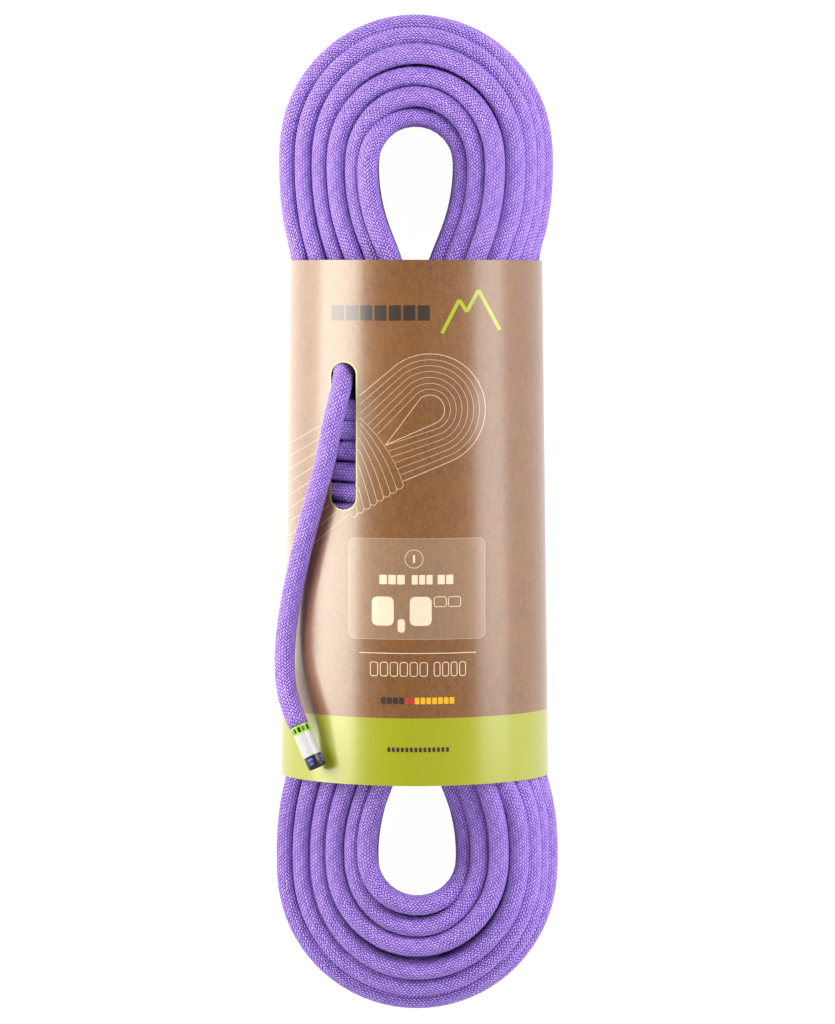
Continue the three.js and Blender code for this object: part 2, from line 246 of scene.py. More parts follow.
def stack_loops():
    """For every loop, its place in each section: share of the way inwards, and height."""
    order = [(column, layer) for column in range(6) for layer in range(COLUMN_LAYERS[column])]
    sections = {}
    for side in ("left", "top", "right", "bottom"):
        width = SIDE_REACH if side in ("left", "right") else END_REACH
        shares = FRONT_SHARES[side]
        drops = FRONT_DROPS[side]
        places = []
        for column, layer in order:
            count = COLUMN_LAYERS[column] - 1
            front = FRONT_HEIGHT - drops[column]
            height = front - (front - ROPE_RADIUS) * layer / count
            inwards = shares[column] + (column / 5 - shares[column]) * min(layer / 2, 1)
            inwards += 0.04 * (1 if layer % 2 else -1) * (layer > 0)
            places.append((inwards * width, height))
        pinned = np.array([layer == 0 for _, layer in order])
        fronts = [s * width for s in shares]
        tops = [FRONT_HEIGHT - d - TOP_ROOM for d in drops]
        found = relax(
            np.array(places), pinned, width, ROPE_RADIUS, lambda d: np.interp(d, fronts, tops)
        )
        found[:, 0] /= width
        sections[side] = found
    low = WAIST_LIFT + ROPE_RADIUS
    places = []
    for column, layer in order:
        x = WAIST_OUTERMOST - WAIST_REACH * column / 5
        bulge = max(1 - (x / WAIST_DOME_HALF) ** FRONT_POWER, 0) ** (1 / FRONT_POWER)
        front = MIDDLE_HEIGHT + WAIST_FRONT_RISE * bulge
        layers = COLUMN_LAYERS[column] - 1
        places.append((WAIST_OUTERMOST - x, front - (front - low) * layer / layers))

    def dome(inwards):
        x = np.clip((WAIST_OUTERMOST - inwards) / WAIST_DOME_HALF, 0, 0.999)
        return MIDDLE_HEIGHT + WAIST_DOME_RISE * (1 - x**FRONT_POWER) ** (1 / FRONT_POWER)

    found = relax(np.array(places), np.zeros(len(order), bool), WAIST_REACH, low, dome)
    found[:, 0] /= WAIST_REACH
    found[:, 1] -= WAIST_LIFT
    sections["waist"] = found
    return order, sections


LOOP_ORDER, LOOP_SECTIONS = stack_loops()


def place_on_side(index, side, y):
    """Share and height, above the lifted ground, of a loop on one long side of the hank."""
    loops = LOOP_SECTIONS[side][index]
    waist = LOOP_SECTIONS["waist"][index]
    share = smooth(np.abs(y), 55.0, 118.0)[:, None]
    return waist + (loops - waist) * share


def place_on_end(index, first, apex, last, angles):
    """The same round the head or the foot. Angles run from 0 to pi."""
    start, middle, end = (LOOP_SECTIONS[s][index] for s in (first, apex, last))
    to_apex = smooth(angles, 0.0, math.pi / 2)[:, None]
    from_apex = smooth(angles, math.pi / 2, math.pi)[:, None]
    return start + (middle - start) * to_apex + (end - middle) * from_apex


def inside_card(points):
    """Keeps a strand's centre line a rope's radius inside the card, and eases off beyond it."""
    out = points.copy()
    x, y, z = points.T
    room = ROPE_RADIUS + CARD_THICKNESS + 0.35
    past = np.clip(np.abs(y) - SLEEVE_TOP - np.where(y > 0, SLEEVE_TRAVEL, 0), 0, None)
    freed = 0.25 * past + 0.02 * past**2
    half = sleeve_half(y) - room + freed
    height = z - MIDDLE_HEIGHT
    in_front = height > 0
    power = np.where(in_front, FRONT_POWER, BACK_POWER)
    reach = np.where(in_front, FRONT_RISE + freed, BACK_DROP + 2 * freed) - room
    size = (np.abs(x) / half) ** power + (np.abs(height) / reach) ** power
    scale = np.maximum(size, 1) ** (-1 / power)
    out[:, 0] = x * scale
    out[:, 2] = MIDDLE_HEIGHT + height * scale
    return out


def lean(points):
    """Leans the loops' fronts towards the waist, shifts them sideways, and fits them in the card."""
    amount = np.where(points[:, 1] > 0, HEAD_LEAN, FOOT_LEAN)
    amount = amount * smooth(np.abs(points[:, 1]), 100.0, 175.0)
    shift = np.where(points[:, 1] > 0, HEAD_SHIFT, FOOT_SHIFT)
    out = points.copy()
    out[:, 0] += shift * smooth(np.abs(points[:, 1]), 95.0, 135.0)
    out[:, 1] += amount * points[:, 2]
    return inside_card(out)


def side_run(index, sign, side, ys):
    """Points down one long side; sign is -1 on the left."""
    place = place_on_side(index, side, ys)
    outer, inner = outer_half(ys), inner_half(ys)
    x = outer + (inner - outer) * place[:, 0]
    return np.column_stack([sign * x, ys, place[:, 1] + lift_at(ys)])


def end_run(index, sign, names, centres, radii, count=60):
    """Points round the head (sign 1, left to right) or the foot (sign -1, right to left)."""
    angles = np.linspace(0, math.pi, count)
    place = place_on_end(index, *names, angles)
    radius = radii[0] + (radii[1] - radii[0]) * place[:, 0]
    centre = centres[0] + (centres[1] - centres[0]) * place[:, 0]
    x = -sign * radius * np.cos(angles)
    y = centre + sign * radius * np.sin(angles)
    return np.column_stack([x, y, place[:, 1]])


def loop_route(index, start=-50.0, stop=-50.0):
    """One loop: up the left side from start, round the head, down the right, back up to stop."""
    head_radii = (HEAD_RADIUS - ROPE_RADIUS, HEAD_EYE_RADIUS + ROPE_RADIUS)
    foot_radii = (FOOT_RADIUS - ROPE_RADIUS, FOOT_EYE_RADIUS + ROPE_RADIUS)
    up = side_run(index, -1, "left", np.arange(start, 165.0, 5.0))
    head = end_run(
        index, 1, ("left", "top", "right"), (HEAD_CENTRE, HEAD_EYE_CENTRE), head_radii
    )
    down = side_run(index, 1, "right", np.arange(164.0, -163.0, -5.0))
    foot = end_run(
        index, -1, ("right", "bottom", "left"), (FOOT_CENTRE, FOOT_EYE_CENTRE), foot_radii
    )
    back = side_run(index, -1, "left", np.arange(-163.0, stop + 0.1, 5.0))
    return lean(np.vstack([up, head, down, foot, back]))


def column_walk(columns, downwards):
    """The loops of these columns in the order the rope runs, down one column and up the next."""
    walk = []
    for column in columns:
        layers = list(range(COLUMN_LAYERS[column]))
        if not downwards:
            layers.reverse()
        walk += [LOOP_ORDER.index((column, layer)) for layer in layers]
        downwards = not downwards
    return walk


def hank_route(walk, start, stop):
    """The route through these loops. Each passes into the next at the waist, out of sight."""
    shift = 50.0
    parts = []
    for number, index in enumerate(walk):
        last = number + 1 == len(walk)
        first = start if number == 0 else shift
        parts.append(loop_route(index, first, stop if last else -shift))
        if not last:
            ys = np.arange(-shift + 5, shift, 5.0)
            share = smooth(ys, -shift, shift)[:, None]
            here = side_run(index, -1, "left", ys)
            there = side_run(walk[number + 1], -1, "left", ys)
            parts.append(here + (there - here) * share)
    return np.vstack(parts)


def crossing_route(here, there, low=-113.0, high=-57.0):
    """Behind the hank, from the outermost column's back strand under its neighbours."""
    ys = np.arange(low, high + 0.1, 2.0)
    share = smooth(ys, low + 8, high - 8)[:, None]
    start = side_run(here, -1, "left", ys)
    end = side_run(there, -1, "left", ys)
    points = start + (end - start) * share
    dip = smooth(ys, low, low + 20) * (1 - smooth(ys, high - 20, high))
    points[:, 2] -= (ROPE_DIAMETER + 0.4) * dip
    return lean(points)


def finish_route(points):
    """The route in even steps of a millimetre, without corners."""
    length = lengths_along(points)[-1]
    return smoothed(at_lengths(points, np.linspace(0, length, int(length))), 60)


def winding_point(turns):
    """A point on the windings' centre line after so many turns from the front's middle."""
    angle = math.pi / 2 - turns * 2 * math.pi
    half, rise = SLEEVE_HALF - WINDING_INSET, FRONT_RISE - WINDING_INSET
    x, z = section_point(angle, half, rise, MIDDLE_HEIGHT - WINDING_FLOOR)
    return x, WINDING_START - WINDING_PITCH * turns, z


def windings_route(start):
    """Up from the innermost front loop, over to the right, round the waist, and out behind."""
    rise = [(-5.2, 64, 101.8), (-4.9, 76, 104), (-0.8, 88, 108), (8, 96, 111.8)]
    over = [(19.5, 97.5, 108), (31, 92.5, 100.6), (42, 84, 91.3), (48.9, 75.5, 81.5)]
    down = [(53.3, 68, 71.5), (55.3, 62.5, 61)]
    turns = [winding_point(t) for t in np.arange(0.3, WINDING_TURNS, 1 / 40)]
    curl = [(12.3, -41.5, 8.3), (5.9, -45.9, 8.2), (1.5, -52.3, 8.1), (0, -60, 8.1)]
    end = [(0, -70, 8.1), (0, -80, 8.1), (0, -99.7, 8.1)]
    return spline(np.vstack([[start], rise, over, down, turns, curl, end]))


# The loose end, from the front loop of the third column out through the slot, down the front to
# its label. From the pivot on it is the frame's own route. The root, under the card, starts on the
# hank's strand and bends more gently than the frame's, so it lies up to 3.6 mm beside that.
LOOSE_ROOT = [
    (-34.9, 106, 86.9),
    (-33.9, 95, 90.3),
    (-33.2, 85, 93.3),
    (-33.1, 79.3, 95.6),
    (-33.1, 74, 98.9),
]
LOOSE_PIVOT = (-33.2, 69.1, 102.9)
LOOSE_END = [
    (-33.7, 65.4, 105.6),
    (-34.4, 61.7, 107.9),
    (-35.5, 57.1, 109.6),
    (-36.9, 51.6, 110.2),
    (-38.3, 46, 109.7),
    (-41.6, 29.2, 107.1),
    (-46.3, 12.3, 102.9),
    (-49.2, 0.9, 100),
    (-52.3, -10.4, 96.4),
    (-55, -21.8, 93.1),
    (-57.4, -33.3, 90),
    (-59.4, -44.7, 87.8),
    (-60.8, -56.2, 87),
    (-61.2, -67.5, 88.6),
    (-60.2, -78.6, 92.7),
    (-57.6, -87.6, 97.2),
    (-54.1, -95.3, 100.6),
]
LOOSE_TIP = (-46.1, -112.95, 104.0)
INNER_LABEL_START = (0, -80, 8.1)
INNER_TIP = (0, -99.7, 8.1)

JUNCTION_Y = 118.0
outer_walk = column_walk((2, 1, 0), downwards=True)
inner_walk = column_walk((3, 4, 5), downwards=False)
outer_route = finish_route(hank_route(outer_walk, JUNCTION_Y, -110.0))
crossing = crossing_route(outer_walk[-1], inner_walk[0])
inner_route = finish_route(np.vstack([crossing, hank_route(inner_walk, -55.0, 40.0)]))
inner_route[0] = outer_route[-1]
winding_route = windings_route(tuple(inner_route[-1]))
loose_route = spline([tuple(outer_route[0]), *LOOSE_ROOT, LOOSE_PIVOT, *LOOSE_END, LOOSE_TIP])
ROUTES = {
    "loose": loose_route,
    "outer": outer_route,
    "inner": inner_route,
    "winding": winding_route,
}
ROPE_LENGTHS = {key: lengths_along(route)[-1] for key, route in ROUTES.items()}

# ----- Meshes -----

RING = 5.0  # spacing of the tube's rings on bends
BRAID_REPEAT = 20.0  # length of rope after which the braid repeats; straight runs step by this
SHARP_FROM = math.radians(35)  # corners sharper than this are shaded as corners
UV_NAME = "OFBake"  # the map that a bake reuses; the braid tiles on it


def new_object(name, vertices, faces, smooth_shading=True):
    """A mesh object from points in millimetres."""
    mesh = bpy.data.meshes.new(name)
    mesh.from_pydata([tuple(float(c) * MM for c in v) for v in vertices], [], faces)
    mesh.polygons.foreach_set("use_smooth", [smooth_shading] * len(mesh.polygons))
    mesh.update()
    piece = bpy.data.objects.new(name, mesh)
    scene.collection.objects.link(piece)
    return piece


def face_outwards(mesh):
    """Turns the faces of a closed mesh outwards."""
    bm = bmesh.new()
    bm.from_mesh(mesh)
    bmesh.ops.recalc_face_normals(bm, faces=bm.faces)
    bm.to_mesh(mesh)
    bm.free()


def ring_lengths(route):
    """Where the tube's rings go: close together on bends, far apart on straight runs."""
    total = lengths_along(route)[-1]
    marks = np.arange(0, total, RING)
    spots = at_lengths(route, marks)
    keep = [0]
    per_repeat = int(BRAID_REPEAT / RING)
    while keep[-1] < len(marks) - 1:
        here = keep[-1]
        ahead = here + per_repeat
        if here % per_repeat == 0 and ahead < len(marks):
            chord = np.linalg.norm(spots[ahead] - spots[here])
            first = spots[here + 1] - spots[here]
            last = spots[ahead] - spots[ahead - 1]
            bend = np.dot(first, last) / np.linalg.norm(first) / np.linalg.norm(last)
            if chord > BRAID_REPEAT * 0.9995 and bend > 0.9985:
                keep.append(ahead)
                continue
        keep.append(here + 1)
    rings = list(marks[keep])
    if total - rings[-1] > 0.5:
        rings.append(total)
    return np.array(rings)


def map_braid(piece, marks, sides):
    """Lays the braid on a tube: once round it, and by length along it."""
    starts = (marks[:-1] % BRAID_REPEAT) / BRAID_REPEAT
    ends = starts + np.diff(marks) / BRAID_REPEAT
    u = np.arange(sides) / sides
    u_after = u + 1 / sides
    shape = (len(marks) - 1, sides)
    corners = [
        np.stack([np.broadcast_to(across, shape), np.broadcast_to(along[:, None], shape)], -1)
        for across, along in ((u, starts), (u_after, starts), (u_after, ends), (u, ends))
    ]
    corners = np.stack(corners, axis=2).reshape(-1, 2)
    caps = np.full((2 * sides, 2), 0.5)
    layer = piece.data.uv_layers.new(name=UV_NAME)
    layer.data.foreach_set("uv", np.vstack([corners, caps]).ravel())


def ring_faces(rings, around, closed=False):
    """The faces between rings of so many points; closed joins the last ring to the first."""
    faces = []
    for ring in range(rings if closed else rings - 1):
        here, there = ring * around, (ring + 1) % rings * around
        for i in range(around):
            j = (i + 1) % around
            faces.append((here + i, here + j, there + j, there + i))
    return faces


def rope_tube(name, route, sides, label_start=None):
    """A round tube along the route, its braid mapped by length. Returns it and its centre line."""
    marks = ring_lengths(route)
    total = lengths_along(route)[-1]
    if label_start is not None:
        marks = np.sort(np.concatenate([marks, [label_start - 0.3, label_start]]))
    centres = at_lengths(route, marks)
    ahead = at_lengths(route, np.minimum(marks + 1.0, total))
    behind = at_lengths(route, np.maximum(marks - 1.0, 0))
    tangents = ahead - behind
    tangents /= np.linalg.norm(tangents, axis=1)[:, None]
    normal = np.cross(tangents[0], (0.3, 0.2, 1.0))
    angles = np.linspace(0, 2 * math.pi, sides, endpoint=False)
    cosines, sines = np.cos(angles)[:, None], np.sin(angles)[:, None]
    vertices = []
    for number, (centre, tangent) in enumerate(zip(centres, tangents)):
        normal = normal - tangent * np.dot(normal, tangent)
        normal /= np.linalg.norm(normal)
        side = np.cross(tangent, normal)
        radius = ROPE_RADIUS
        if label_start is not None and marks[number] > label_start - 0.1:
            radius = THINNED_RADIUS
        vertices.append(centre + radius * (cosines * normal + sines * side))
    faces = ring_faces(len(marks), sides)
    faces.append(tuple(reversed(range(sides))))
    faces.append(tuple((len(marks) - 1) * sides + i for i in range(sides)))
    piece = new_object(name, np.vstack(vertices), faces)
    map_braid(piece, marks, sides)
    return piece, centres * MM


def surface_height(x, y):
    """Height of the card's outer face at a place on its front."""
    across = min(abs(x) / sleeve_half(y), 1.0)
    return MIDDLE_HEIGHT + FRONT_RISE * (1 - across**FRONT_POWER) ** (1 / FRONT_POWER)


def card_face(inset, count=168):
    """One face of the card in section, from the outer lap's edge round to the inner lap's."""
    floor = MIDDLE_HEIGHT - BACK_DROP + inset
    points = [(LAP_HALF_WIDTH - (LAP_HALF_WIDTH - 2) * s / 4, floor) for s in range(5)]
    for i in range(count + 1):
        angle = -math.pi / 2 - 2 * math.pi * i / count
        x, z = section_point(angle, SLEEVE_HALF - inset, FRONT_RISE - inset, BACK_DROP + 1 - inset)
        if z > MIDDLE_HEIGHT or abs(x) > LAP_HALF_WIDTH + 12:
            points.append((x, max(z, floor)))
    for x, share in ((24, 0), (20.5, 0.5), (17, 1), (7, 1), (-4, 1), (-14, 1)):
        points.append((x, floor + LAP_LIFT * share))
    return points


def build_card():
    """The card tube with its lap seam at the back, before the slot is cut."""
    outer, inner = card_face(0.0), card_face(CARD_THICKNESS)
    profile = outer + inner[::-1]
    rows = np.linspace(SLEEVE_BOTTOM, SLEEVE_TOP, 25)
    vertices = []
    for y in rows:
        vertices += [(x * sleeve_half(y) / SLEEVE_HALF, y, z) for x, z in profile]
    count = len(profile)
    faces = ring_faces(len(rows), count)
    last = (len(rows) - 1) * count
    for i in range(len(outer) - 1):
        a, b = i, i + 1
        c, d = count - 2 - i, count - 1 - i
        faces.append((b, a, d, c))
        faces.append((last + a, last + b, last + c, last + d))
    card = new_object("card_sleeve_print", vertices, faces)
    for polygon in card.data.polygons:
        outside = polygon.index < last and polygon.index % count < len(outer) - 1
        polygon.material_index = 0 if outside else 1
    face_outwards(card.data)
    return card


def capsule_outline(count=12):
    """The slot's outline, seen from the front."""
    points = []
    for centre, start in ((SLOT_TOP - SLOT_HALF, 0.0), (SLOT_BOTTOM + SLOT_HALF, math.pi)):
        for i in range(count + 1):
            angle = start + math.pi * i / count
            x = SLOT_X + SLOT_HALF * math.cos(angle)
            points.append((x, centre + SLOT_HALF * math.sin(angle)))
    return points


def cut_slot(card):
    """Cuts the slot through the card's front."""
    outline = capsule_outline()
    count = len(outline)
    vertices = [(x, y, z) for z in (63.0, 125.0) for x, y in outline]
    faces = [tuple(reversed(range(count))), tuple(range(count, 2 * count))]
    faces += ring_faces(2, count)
    cutter = new_object("slot_cutter", vertices, faces, smooth_shading=False)
    for slot_material in card.data.materials:
        cutter.data.materials.append(slot_material)
    for polygon in cutter.data.polygons:
        polygon.material_index = 1
    cut = card.modifiers.new("slot", "BOOLEAN")
    cut.object = cutter
    cut.operation = "DIFFERENCE"
    cut.solver = "EXACT"
    depsgraph = bpy.context.evaluated_depsgraph_get()
    card.data = bpy.data.meshes.new_from_object(card.evaluated_get(depsgraph))
    card.modifiers.clear()
    card.data.set_sharp_from_angle(angle=SHARP_FROM)
    bpy.data.objects.remove(cutter)


def turned(name, profile, segments, start, tip):
    """A piece turned round the rope's line: profile points are (radius, distance from start)."""
    start, tip = Vector(start), Vector(tip)
    frame_matrix = (tip - start).to_track_quat("Z", "Y").to_matrix().to_4x4()
    vertices = []
    for radius, along in profile:
        for i in range(segments):
            angle = 2 * math.pi * i / segments
            vertices.append((radius * math.cos(angle), radius * math.sin(angle), along))
    piece = new_object(name, vertices, ring_faces(len(profile), segments, closed=True))
    piece.matrix_world = Matrix.Translation(start * MM) @ frame_matrix
    face_outwards(piece.data)
    piece.data.set_sharp_from_angle(angle=SHARP_FROM)
    return piece


# ----- Materials -----


def rgb(red, green, blue):
    """Display values from 0 to 255 as a linear colour."""
    out = []
    for value in (red, green, blue):
        value /= 255
        out.append(value / 12.92 if value <= 0.04045 else ((value + 0.055) / 1.055) ** 2.4)
    return (*out, 1.0)


class Graph:
    """A material's node tree, with short names for what is used often."""

    def __init__(self, name):
        self.material = bpy.data.materials.new(name)
        self.material.use_nodes = True
        self.tree = self.material.node_tree
        self.shader = self.tree.nodes["Principled BSDF"]

    def node(self, kind, **settings):
        made = self.tree.nodes.new(kind)
        for key, value in settings.items():
            setattr(made, key, value)
        return made

    def link(self, source, target):
        if hasattr(source, "is_output"):
            self.tree.links.new(source, target)
        else:
            target.default_value = source

    def feed(self, made, **values):
        """Sets or links a node's inputs by name."""
        for key, value in values.items():
            self.link(value, made.inputs[key.replace("_", " ")])
        return made.outputs

    def math(self, operation, *inputs):
        made = self.node("ShaderNodeMath", operation=operation)
        for socket, value in zip(made.inputs, inputs):
            self.link(value, socket)
        return made.outputs[0]

    def plus(self, one, other):
        return self.math("ADD", one, other)

    def minus(self, one, other):
        return self.math("SUBTRACT", one, other)

    def times(self, one, other):
        return self.math("MULTIPLY", one, other)

    def more(self, one, other):
        return self.math("GREATER_THAN", one, other)

    def less(self, one, other):
        return self.math("LESS_THAN", one, other)

    def distance(self, dx, dy):
        return self.math("SQRT", self.plus(self.times(dx, dx), self.times(dy, dy)))

    def mix(self, share, low, high):
        made = self.node("ShaderNodeMix", data_type="RGBA")
        self.link(share, made.inputs[0])
        self.link(low, made.inputs[6])
        self.link(high, made.inputs[7])
        return made.outputs[2]

    def noise(self, vector, scale, detail=3.0, roughness=0.6):
        made = self.node("ShaderNodeTexNoise")
        out = self.feed(made, Vector=vector, Scale=scale, Detail=detail, Roughness=roughness)
        return out["Fac"]

    def spread(self, value, low, high):
        """value stretched so that low gives 0 and high gives 1."""
        made = self.node("ShaderNodeMapRange")
        return self.feed(made, Value=value, From_Min=low, From_Max=high)["Result"]

    def bump(self, height, distance, strength=1.0):
        made = self.node("ShaderNodeBump")
        out = self.feed(made, Height=height, Distance=distance, Strength=strength)
        self.link(out["Normal"], self.shader.inputs["Normal"])

    def object_place(self):
        return self.node("ShaderNodeTexCoord").outputs["Object"]

    def split(self, vector):
        made = self.node("ShaderNodeSeparateXYZ")
        self.link(vector, made.inputs[0])
        return made.outputs

    def set(self, **values):
        self.feed(self.shader, **values)


BRAID_YARNS = 22.0  # yarns each way round the rope
BRAID_ROWS = 11.0  # crossings of one yarn in a braid repeat


def braid_material(name, light, deep, gap):
    """A two-over, two-under braid of yarns both ways round the rope. Its colour follows the yarns'
    height: a painted highlight on their crowns and painted shade in the gaps between them.
    """
    g = Graph(name)
    place = g.split(g.node("ShaderNodeUVMap", uv_map=UV_NAME).outputs[0])
    around = g.times(place[0], BRAID_YARNS)
    along = g.times(place[1], BRAID_ROWS)
    first = g.plus(around, along)
    second = g.minus(around, along)
    first_yarn = g.math("FLOOR", first)
    second_yarn = g.math("FLOOR", second)
    first_float = g.math("FLOORED_MODULO", g.plus(second, first_yarn), 4.0)
    second_float = g.math("FLOORED_MODULO", g.plus(first, second_yarn), 4.0)
    first_on_top = g.less(first_float, 2.0)

    def crown(across, along_float):
        """Height of a yarn: round across, and dipping at the ends of its float."""
        side = g.minus(g.times(g.math("FRACT", across), 2.0), 1.0)
        round_off = g.minus(1.0, g.math("POWER", g.math("ABSOLUTE", side), 2.5))
        ends = g.math("ABSOLUTE", g.minus(along_float, 1.0))
        dip = g.minus(1.0, g.math("POWER", ends, 3.0))
        return g.times(round_off, g.math("MULTIPLY_ADD", dip, 0.75, 0.25))

    def shown_of(one, other):
        """The first yarn's value where it is on top, and the second's elsewhere."""
        hidden = g.minus(1.0, first_on_top)
        return g.plus(g.times(first_on_top, one), g.times(hidden, other))

    top = crown(first, first_float)
    under = crown(second, g.minus(second_float, 2.0))
    height = shown_of(top, under)
    yarn = g.node("ShaderNodeTexWhiteNoise", noise_dimensions="2D")
    pair = g.node("ShaderNodeCombineXYZ")
    shown = shown_of(first_yarn, second_yarn)
    g.link(g.math("FLOORED_MODULO", shown, BRAID_ROWS), pair.inputs[0])
    g.link(first_on_top, pair.inputs[1])
    g.link(pair.outputs[0], yarn.inputs["Vector"])
    # Colour by height: the gap colour is painted shade in the hollows between yarns, and the light
    # colour is a painted highlight on their crowns. The yarn noise is their own random tone.
    lit = g.math("MULTIPLY_ADD", yarn.outputs["Value"], 0.22, g.times(height, 0.8))
    colour = g.mix(g.spread(lit, 0.05, 0.5), gap, deep)
    colour = g.mix(g.spread(lit, 0.45, 0.95), colour, light)
    g.set(
        Base_Color=colour,
        Roughness=g.math("MULTIPLY_ADD", height, -0.15, 0.62),
        Specular_IOR_Level=0.5,
        Sheen_Weight=0.25,
        Sheen_Roughness=0.4,
        Sheen_Tint=light,
    )
    g.bump(height, 0.0009, 1.0)
    return g.material


def slot_distance(g, place):
    """Distance in metres from the slot's edge, seen from the front, outwards."""
    middle = (SLOT_TOP + SLOT_BOTTOM) / 2 * MM
    reach = ((SLOT_TOP - SLOT_BOTTOM) / 2 - SLOT_HALF) * MM
    dx = g.minus(place[0], SLOT_X * MM)
    dy = g.math("ABSOLUTE", g.minus(place[1], middle))
    dy = g.math("MAXIMUM", g.minus(dy, reach), 0.0)
    return g.minus(g.distance(dx, dy), SLOT_HALF * MM)


PANEL = (-30.9, 32.6, -53.6, -6.9)  # left, right, bottom and top of the card's pale panel
PANEL_CORNER = 3.0


def box_distance(g, place):
    """Distance in metres from the panel's rounded edge, seen from the front, outwards."""
    left, right, bottom, top = (edge * MM for edge in PANEL)
    corner = PANEL_CORNER * MM
    parts = []
    for value, low, high in ((place[0], left, right), (place[1], bottom, top)):
        away = g.math("ABSOLUTE", g.minus(value, (low + high) / 2))
        away = g.minus(away, (high - low) / 2 - corner)
        parts.append(g.math("MAXIMUM", away, 0.0))
    return g.minus(g.distance(*parts), corner)


def card_print_material():
    """Kraft card, varnished, with a lime band at the foot and a lime line round the slot."""
    g = Graph("kraft_print")
    at = g.object_place()
    place = g.split(at)
    fine = g.noise(at, 1900.0, 2.0, 0.7)
    fibres = g.node("ShaderNodeMapping")
    g.link(at, fibres.inputs["Vector"])
    fibres.inputs["Scale"].default_value = (1.0, 0.35, 1.0)
    streaks = g.noise(fibres.outputs[0], 500.0, 3.0, 0.6)
    patches = g.noise(at, 22.0, 2.0, 0.5)
    grain = g.plus(g.times(fine, 0.75), g.times(streaks, 0.25))
    kraft = g.mix(g.spread(grain, 0.41, 0.59), rgb(84, 50, 18), rgb(125, 82, 40))
    kraft = g.mix(g.spread(patches, 0.2, 1.6), kraft, rgb(138, 93, 52))
    panel = box_distance(g, place)
    shaded = g.times(g.less(panel, 0.0), 0.1)
    edge = g.less(g.math("ABSOLUTE", panel), 0.00012)
    kraft = g.mix(g.math("MAXIMUM", shaded, g.times(edge, 0.3)), kraft, rgb(240, 222, 200))
    lime = g.mix(g.spread(grain, 0.3, 0.7), rgb(136, 140, 0), rgb(149, 152, 0))
    in_band = g.less(place[1], LIME_BAND_TOP * MM)
    at_slot = g.less(slot_distance(g, place), 0.0007)
    in_front = g.more(place[2], MIDDLE_HEIGHT * MM)
    inked = g.math("MAXIMUM", in_band, g.times(at_slot, in_front))
    g.set(
        Base_Color=g.mix(inked, kraft, lime),
        Roughness=g.math("MULTIPLY_ADD", fine, 0.1, 0.34),
        Specular_IOR_Level=0.5,
        Coat_Weight=0.8,
        Coat_Roughness=0.22,
    )
    g.bump(grain, 0.00004, 0.6)
    return g.material


def card_core_material():
    """The card's unprinted side and its cut edges."""
    g = Graph("card_core")
    at = g.object_place()
    fibre = g.noise(at, 900.0, 4.0, 0.7)
    g.set(
        Base_Color=g.mix(g.spread(fibre, 0.3, 0.7), rgb(150, 118, 84), rgb(186, 154, 118)),
        Roughness=g.math("MULTIPLY_ADD", fibre, 0.15, 0.75),
    )
    g.bump(fibre, 0.00005, 0.7)
    return g.material


def ink_material(name, colour):
    """A printed ink with a little wear in it."""
    g = Graph(name)
    at = g.object_place()
    speckle = g.noise(at, 1300.0, 2.0, 0.7)
    paler = tuple(min(1.06 * c + 0.006, 1.0) for c in colour[:3]) + (1.0,)
    g.set(
        Base_Color=g.mix(g.spread(speckle, 0.3, 0.7), colour, paler),
        Roughness=g.math("MULTIPLY_ADD", speckle, 0.1, 0.36),
        Coat_Weight=0.8,
        Coat_Roughness=0.22,
    )
    return g.material


LABEL_LENGTH = 21.2
LABEL_BANDS = (4.1, 15.4)  # where white and then black begin, from the rope's side


def label_material(name):
    """A shrunk label in three bands, with plain blocks where a maker's print would be."""
    g = Graph(name)
    at = g.object_place()
    place = g.split(at)
    along = g.times(place[2], 1 / MM)
    angle = g.math("ARCTAN2", place[1], place[0])
    mottle = g.noise(at, 700.0, 2.0, 0.6)
    green = g.mix(mottle, rgb(128, 178, 12), rgb(156, 206, 34))
    white = g.mix(mottle, rgb(172, 172, 174), rgb(194, 194, 194))
    black = g.mix(mottle, rgb(10, 12, 18), rgb(30, 32, 40))

    def blocks(count, low, high, gap):
        wave = g.math("SINE", g.times(angle, count))
        bars = g.more(wave, gap)
        above = g.more(along, low)
        below = g.less(along, high)
        return g.times(bars, g.times(above, below))

    green = g.mix(blocks(12.0, 0.9, 3.3, -0.45), green, rgb(22, 30, 14))
    black = g.mix(blocks(4.0, 16.6, 17.8, 0.3), black, rgb(86, 98, 176))
    black = g.mix(blocks(4.0, 18.4, 19.8, 0.5), black, rgb(78, 86, 150))
    colour = g.mix(g.more(along, LABEL_BANDS[0]), green, white)
    colour = g.mix(g.more(along, LABEL_BANDS[1]), colour, black)
    g.set(
        Base_Color=colour,
        Roughness=g.math("MULTIPLY_ADD", mottle, 0.12, 0.24),
        Coat_Weight=0.3,
        Coat_Roughness=0.12,
    )
    ripple = g.noise(at, 260.0, 2.0, 0.5)
    g.bump(ripple, 0.00025, 0.5)
    return g.material


def plain_material(name, low, high, scale, roughness, depth):
    """A speckled surface for pieces that have no print."""
    g = Graph(name)
    at = g.object_place()
    speckle = g.noise(at, scale, 3.0, 0.6)
    g.set(
        Base_Color=g.mix(g.spread(speckle, 0.3, 0.7), low, high),
        Roughness=g.math("MULTIPLY_ADD", speckle, 0.2, roughness),
    )
    g.bump(speckle, depth, 0.7)
    return g.material


# ----- Camera, floor and light -----

# The picture is taken from well above the hank's head half, tilted to centre the whole hank.
EYE = Vector((1.2, 108.2, MIDDLE_HEIGHT + 2300)) * MM
AIM = Vector((1.2, 2.7, MIDDLE_HEIGHT)) * MM
LENS = 170.4


def look(eye, aim, up):
    """Rotation of a camera or a light at eye that looks at aim."""
    back = (eye - aim).normalized()
    right = up.cross(back).normalized()
    rotation = Matrix((right, back.cross(right), back)).transposed()
    return rotation.to_4x4()


